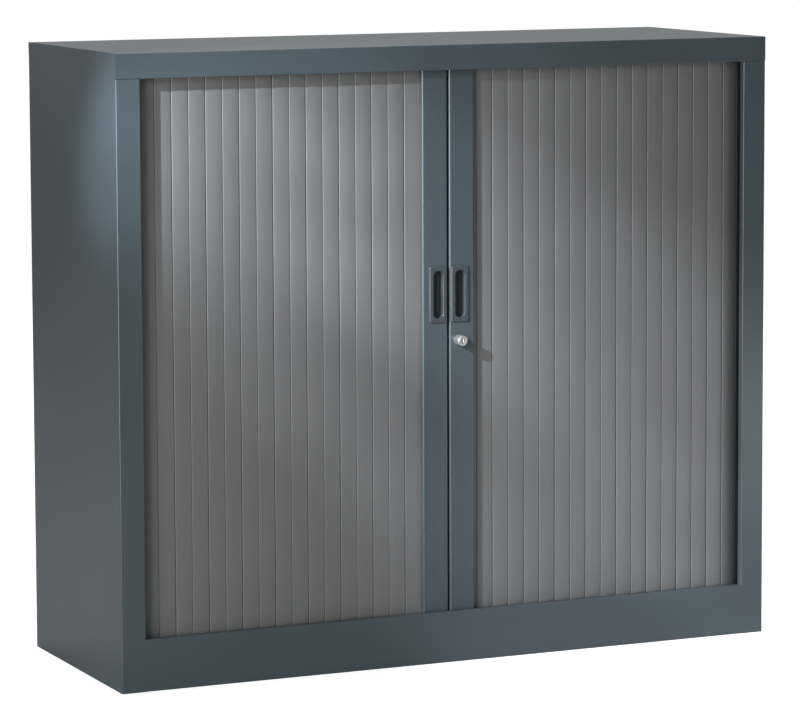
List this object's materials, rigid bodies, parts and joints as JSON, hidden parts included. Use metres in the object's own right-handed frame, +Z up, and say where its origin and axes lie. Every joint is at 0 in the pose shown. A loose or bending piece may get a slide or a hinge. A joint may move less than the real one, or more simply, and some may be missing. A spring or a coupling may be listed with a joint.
{
  "type": "tambour door cupboard",
  "caption": "Low steel office cupboard with two slatted tambour doors that slide sideways round the corners, recessed finger pulls and a push lock.",
  "frame": {"origin": "on the floor, under the middle of the cupboard's box", "axes": "+X to the viewer's right along the front, +Y to the back, +Z up; the doors face -Y"},
  "size_m": [1.2, 0.43, 1.05],
  "materials": {
    "casing_paint": "anthracite blue-grey powder coat, fine satin texture",
    "lining_paint": "anthracite powder coat, satin",
    "bar_paint": "anthracite powder coat, satin",
    "handle_plastic": "anthracite moulded plastic, satin",
    "slat_plastic": "mid-grey extruded slats, satin",
    "track_plastic": "black extruded plastic",
    "glide_plastic": "natural sliding plastic",
    "lock_chrome": "polished nickel chrome",
    "zinc_steel": "zinc-plated steel",
    "foot_plastic": "black moulded plastic"
  },
  "bodies": {
    "root": {"back_panel": "casing_paint", "base_deck": "casing_paint", "floor_panel": "lining_paint", "foot_blocks": "zinc_steel", "front_plinth": "casing_paint", "inner_back": "lining_paint", "left_bottom_track": "track_plastic", "left_liner": "lining_paint", "left_side_panel": "casing_paint", "left_top_track": "track_plastic", "lower_shelf": "lining_paint", "right_bottom_track": "track_plastic", "right_liner": "lining_paint", "right_side_panel": "casing_paint", "right_top_track": "track_plastic", "shelf_clips": "zinc_steel", "top_panel": "casing_paint", "upper_deck": "casing_paint", "upper_shelf": "lining_paint"},
    "left_door": {"left_lead_bar": "bar_paint", "left_edge_slat": "slat_plastic", "left_handle": "handle_plastic", "left_bar_glides": "glide_plastic", "strike_tongue": "zinc_steel"},
    "right_door": {"right_lead_bar": "bar_paint", "right_edge_slat": "slat_plastic", "right_handle": "handle_plastic", "right_bar_glides": "glide_plastic", "lock_housing": "zinc_steel"},
    "left_slat_01": {"left_slat_01": "slat_plastic"},
    "left_slat_02": {"left_slat_02": "slat_plastic"},
    "left_slat_03": {"left_slat_03": "slat_plastic"},
    "left_slats_04_12": {"left_slats_04_12": "slat_plastic"},
    "left_slat_13": {"left_slat_13": "slat_plastic"},
    "left_slat_14": {"left_slat_14": "slat_plastic"},
    "left_slat_15": {"left_slat_15": "slat_plastic"},
    "left_slat_16": {"left_slat_16": "slat_plastic"},
    "left_slat_17": {"left_slat_17": "slat_plastic"},
    "right_slat_01": {"right_slat_01": "slat_plastic"},
    "right_slat_02": {"right_slat_02": "slat_plastic"},
    "right_slat_03": {"right_slat_03": "slat_plastic"},
    "right_slats_04_13": {"right_slats_04_13": "slat_plastic"},
    "right_slat_14": {"right_slat_14": "slat_plastic"},
    "right_slat_15": {"right_slat_15": "slat_plastic"},
    "right_slat_16": {"right_slat_16": "slat_plastic"},
    "right_slat_17": {"right_slat_17": "slat_plastic"},
    "right_slat_18": {"right_slat_18": "slat_plastic"},
    "lock_barrel": {"lock_barrel": "lock_chrome", "lock_pin": "zinc_steel"},
    "lock_core": {"lock_core": "lock_chrome"},
    "front_left_foot_pad": {"front_left_foot_pad": "foot_plastic"},
    "front_left_foot_stud": {"front_left_foot_stud": "zinc_steel"},
    "front_right_foot_pad": {"front_right_foot_pad": "foot_plastic"},
    "front_right_foot_stud": {"front_right_foot_stud": "zinc_steel"},
    "rear_left_foot_pad": {"rear_left_foot_pad": "foot_plastic"},
    "rear_left_foot_stud": {"rear_left_foot_stud": "zinc_steel"},
    "rear_right_foot_pad": {"rear_right_foot_pad": "foot_plastic"},
    "rear_right_foot_stud": {"rear_right_foot_stud": "zinc_steel"}
  },
  "joints": [
    {"name": "left_door_slide", "type": "slide", "parent": "root", "child": "left_door", "axis": [-1, 0, 0], "range_m": [0, 0.47], "deforming": ["left_slat_01", "left_slat_02", "left_slat_03", "left_slats_04_12", "left_slat_13", "left_slat_14", "left_slat_15", "left_slat_16", "left_slat_17"]},
    {"name": "right_door_slide", "type": "slide", "parent": "root", "child": "right_door", "axis": [1, 0, 0], "range_m": [0, 0.47], "deforming": ["right_slat_01", "right_slat_02", "right_slat_03", "right_slats_04_13", "right_slat_14", "right_slat_15", "right_slat_16", "right_slat_17", "right_slat_18"]},
    {"name": "left_fold_01", "type": "hinge", "parent": "left_door", "child": "left_slat_01", "pos_m": [-0.0769, -0.183, 0.5465], "axis": [0, 0, -1], "range_deg": [0, 26.28]},
    {"name": "left_fold_02", "type": "hinge", "parent": "left_slat_01", "child": "left_slat_02", "pos_m": [-0.10664, -0.183, 0.5465], "axis": [0, 0, -1], "range_deg": [0, 36.09]},
    {"name": "left_fold_03", "type": "hinge", "parent": "left_slat_02", "child": "left_slat_03", "pos_m": [-0.13638, -0.183, 0.5465], "axis": [0, 0, -1], "range_deg": [0, 26.33]},
    {"name": "left_fold_04", "type": "hinge", "parent": "left_door", "child": "left_slats_04_12", "pos_m": [-0.10719, -0.17219, 0.5465], "axis": [0, 0, -1], "range_deg": [0, 90]},
    {"name": "left_fold_13", "type": "hinge", "parent": "left_slats_04_12", "child": "left_slat_13", "pos_m": [-0.43378, -0.183, 0.5465], "axis": [0, 0, -1], "range_deg": [0, 12.76]},
    {"name": "left_fold_14", "type": "hinge", "parent": "left_slat_13", "child": "left_slat_14", "pos_m": [-0.46352, -0.183, 0.5465], "axis": [0, 0, -1], "range_deg": [0, 37.88]},
    {"name": "left_fold_15", "type": "hinge", "parent": "left_slat_14", "child": "left_slat_15", "pos_m": [-0.49326, -0.183, 0.5465], "axis": [0, 0, -1], "range_deg": [0, 34.09]},
    {"name": "left_fold_16", "type": "hinge", "parent": "left_slat_15", "child": "left_slat_16", "pos_m": [-0.523, -0.183, 0.5465], "axis": [0, 0, -1], "range_deg": [0, 1.97]},
    {"name": "left_fold_17", "type": "hinge", "parent": "left_slat_16", "child": "left_slat_17", "pos_m": [-0.55269, -0.18129, 0.5465], "axis": [0, 0, -1], "range_deg": [-30.09, 0]},
    {"name": "right_fold_01", "type": "hinge", "parent": "right_door", "child": "right_slat_01", "pos_m": [0.0571, -0.183, 0.5465], "axis": [0, 0, 1], "range_deg": [0, 5.78]},
    {"name": "right_fold_02", "type": "hinge", "parent": "right_slat_01", "child": "right_slat_02", "pos_m": [0.08684, -0.183, 0.5465], "axis": [0, 0, 1], "range_deg": [0, 32.61]},
    {"name": "right_fold_03", "type": "hinge", "parent": "right_slat_02", "child": "right_slat_03", "pos_m": [0.11658, -0.183, 0.5465], "axis": [0, 0, 1], "range_deg": [0, 36]},
    {"name": "right_fold_04", "type": "hinge", "parent": "right_door", "child": "right_slats_04_13", "pos_m": [0.1073, -0.172, 0.5465], "axis": [0, 0, 1], "range_deg": [0, 90.44]},
    {"name": "right_fold_14", "type": "hinge", "parent": "right_slats_04_13", "child": "right_slat_14", "pos_m": [0.44372, -0.183, 0.5465], "axis": [0, 0, 1], "range_deg": [0, 24.61]},
    {"name": "right_fold_15", "type": "hinge", "parent": "right_slat_14", "child": "right_slat_15", "pos_m": [0.47346, -0.183, 0.5465], "axis": [0, 0, 1], "range_deg": [0, 38.59]},
    {"name": "right_fold_16", "type": "hinge", "parent": "right_slat_15", "child": "right_slat_16", "pos_m": [0.5032, -0.183, 0.5465], "axis": [0, 0, 1], "range_deg": [0, 25.71]},
    {"name": "right_fold_17", "type": "hinge", "parent": "right_slat_16", "child": "right_slat_17", "pos_m": [0.53294, -0.183, 0.5465], "axis": [0, 0, 1], "range_deg": [-9.86, 0]},
    {"name": "right_fold_18", "type": "hinge", "parent": "right_slat_17", "child": "right_slat_18", "pos_m": [0.56218, -0.17757, 0.5465], "axis": [0, 0, 1], "range_deg": [-35.04, 0]},
    {"name": "lock_push", "type": "slide", "parent": "right_door", "child": "lock_barrel", "axis": [0, 1, 0], "range_m": [0, 0.012]},
    {"name": "key_turn", "type": "hinge", "parent": "lock_barrel", "child": "lock_core", "pos_m": [0.018, -0.215, 0.5495], "axis": [0, 1, 0], "range_deg": [0, 90]},
    {"name": "front_left_foot_lift", "type": "slide", "parent": "root", "child": "front_left_foot_pad", "axis": [0, 0, 1], "range_m": [-0.015, 0]},
    {"name": "front_left_foot_screw", "type": "hinge", "parent": "front_left_foot_pad", "child": "front_left_foot_stud", "pos_m": [-0.53, -0.16, 0.02], "axis": [0, 0, 1], "range_deg": [0, 4320.1]},
    {"name": "front_right_foot_lift", "type": "slide", "parent": "root", "child": "front_right_foot_pad", "axis": [0, 0, 1], "range_m": [-0.015, 0]},
    {"name": "front_right_foot_screw", "type": "hinge", "parent": "front_right_foot_pad", "child": "front_right_foot_stud", "pos_m": [0.53, -0.16, 0.02], "axis": [0, 0, 1], "range_deg": [0, 4320.1]},
    {"name": "rear_left_foot_lift", "type": "slide", "parent": "root", "child": "rear_left_foot_pad", "axis": [0, 0, 1], "range_m": [-0.015, 0]},
    {"name": "rear_left_foot_screw", "type": "hinge", "parent": "rear_left_foot_pad", "child": "rear_left_foot_stud", "pos_m": [-0.53, 0.16, 0.02], "axis": [0, 0, 1], "range_deg": [0, 4320.1]},
    {"name": "rear_right_foot_lift", "type": "slide", "parent": "root", "child": "rear_right_foot_pad", "axis": [0, 0, 1], "range_m": [-0.015, 0]},
    {"name": "rear_right_foot_screw", "type": "hinge", "parent": "rear_right_foot_pad", "child": "rear_right_foot_stud", "pos_m": [0.53, 0.16, 0.02], "axis": [0, 0, 1], "range_deg": [0, 4320.1]}
  ],
  "couplings": [
    {"joint": "left_fold_01", "follows": "left_door_slide", "rad_per_m": 0.97601},
    {"joint": "left_fold_02", "follows": "left_door_slide", "rad_per_m": 1.3403},
    {"joint": "left_fold_03", "follows": "left_door_slide", "rad_per_m": 0.97793},
    {"joint": "left_fold_04", "follows": "left_door_slide", "rad_per_m": 3.3421},
    {"joint": "left_fold_13", "follows": "left_door_slide", "rad_per_m": 0.47392},
    {"joint": "left_fold_14", "follows": "left_door_slide", "rad_per_m": 1.4068},
    {"joint": "left_fold_15", "follows": "left_door_slide", "rad_per_m": 1.2659},
    {"joint": "left_fold_16", "follows": "left_door_slide", "rad_per_m": 0.073288},
    {"joint": "left_fold_17", "follows": "left_door_slide", "rad_per_m": -1.1172},
    {"joint": "right_fold_01", "follows": "right_door_slide", "rad_per_m": 0.21461},
    {"joint": "right_fold_02", "follows": "right_door_slide", "rad_per_m": 1.2111},
    {"joint": "right_fold_03", "follows": "right_door_slide", "rad_per_m": 1.3368},
    {"joint": "right_fold_04", "follows": "right_door_slide", "rad_per_m": 3.3583},
    {"joint": "right_fold_14", "follows": "right_door_slide", "rad_per_m": 0.91381},
    {"joint": "right_fold_15", "follows": "right_door_slide", "rad_per_m": 1.4331},
    {"joint": "right_fold_16", "follows": "right_door_slide", "rad_per_m": 0.95457},
    {"joint": "right_fold_17", "follows": "right_door_slide", "rad_per_m": -0.36632},
    {"joint": "right_fold_18", "follows": "right_door_slide", "rad_per_m": -1.3014},
    {"joint": "front_left_foot_screw", "follows": "front_left_foot_lift", "rad_per_m": -5026.5},
    {"joint": "front_right_foot_screw", "follows": "front_right_foot_lift", "rad_per_m": -5026.5},
    {"joint": "rear_left_foot_screw", "follows": "rear_left_foot_lift", "rad_per_m": -5026.5},
    {"joint": "rear_right_foot_screw", "follows": "rear_right_foot_lift", "rad_per_m": -5026.5}
  ]
}
